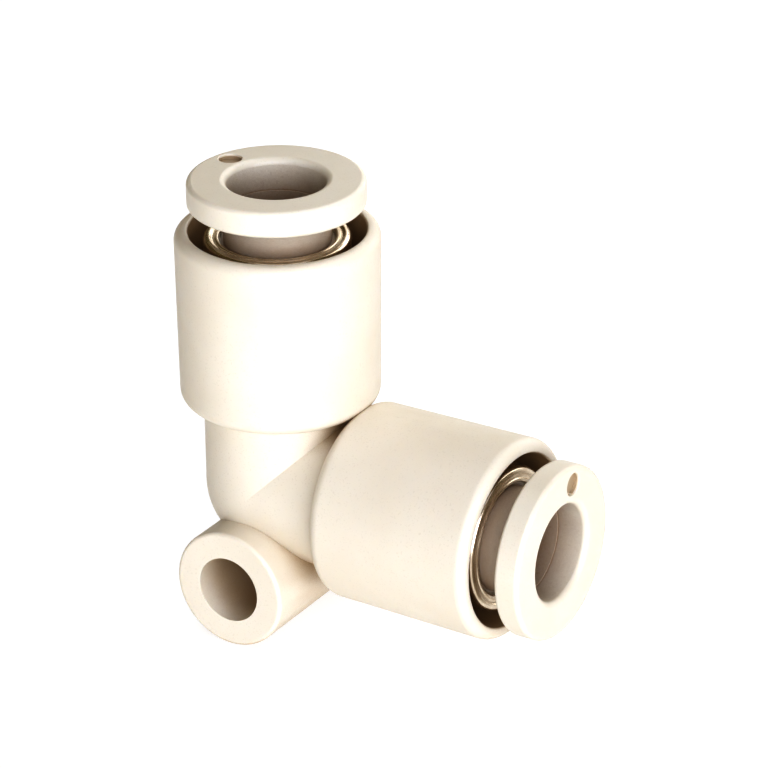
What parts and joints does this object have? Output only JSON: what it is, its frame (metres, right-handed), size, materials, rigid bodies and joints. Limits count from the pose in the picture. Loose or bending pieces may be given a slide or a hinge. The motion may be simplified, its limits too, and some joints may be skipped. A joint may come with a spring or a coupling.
{
  "type": "push to connect fitting",
  "caption": "Right-angle push to connect tube fitting: moulded elbow with a mounting boss, and a release button, steel guide, collet, toothed chuck and lip seal in each port.",
  "frame": {"origin": "centre of the mounting hole in the boss, on the mid-plane that holds both port axes", "axes": "+Z out of port A, parallel to its axis; +X out of port B; +Y along the mounting hole"},
  "size_m": [0.0268, 0.0128, 0.0296],
  "materials": {
    "body_plastic": "satin ivory PBT, fine moulded texture",
    "button_plastic": "satin ivory POM",
    "steel": "bright drawn stainless steel",
    "collet_plastic": "natural white POM",
    "seal_rubber": "black NBR"
  },
  "bodies": {
    "fitting_body": {"elbow_body": "body_plastic", "guide_a": "steel", "guide_b": "steel", "tube_seal_a": "seal_rubber", "tube_seal_b": "seal_rubber"},
    "button_a": {"release_button_a": "button_plastic"},
    "gripper_a": {"collet_a": "collet_plastic", "chuck_a": "steel"},
    "button_b": {"release_button_b": "button_plastic"},
    "gripper_b": {"collet_b": "collet_plastic", "chuck_b": "steel"}
  },
  "joints": [
    {"name": "press_a", "type": "slide", "parent": "fitting_body", "child": "button_a", "axis": [0, 0, -1], "range_m": [0, 0.0014], "stiffness_N_per_m": 400, "springref_m": -0.0005},
    {"name": "release_a", "type": "slide", "parent": "fitting_body", "child": "gripper_a", "axis": [0, 0, -1], "range_m": [0, 0.0005]},
    {"name": "press_b", "type": "slide", "parent": "fitting_body", "child": "button_b", "axis": [-1, 0, 0], "range_m": [0, 0.0014], "stiffness_N_per_m": 400, "springref_m": -0.0005},
    {"name": "release_b", "type": "slide", "parent": "fitting_body", "child": "gripper_b", "axis": [-1, 0, 0], "range_m": [0, 0.0005]}
  ],
  "couplings": [
    {"joint": "release_a", "follows": "press_a", "ratio": 0.357},
    {"joint": "release_b", "follows": "press_b", "ratio": 0.357}
  ]
}
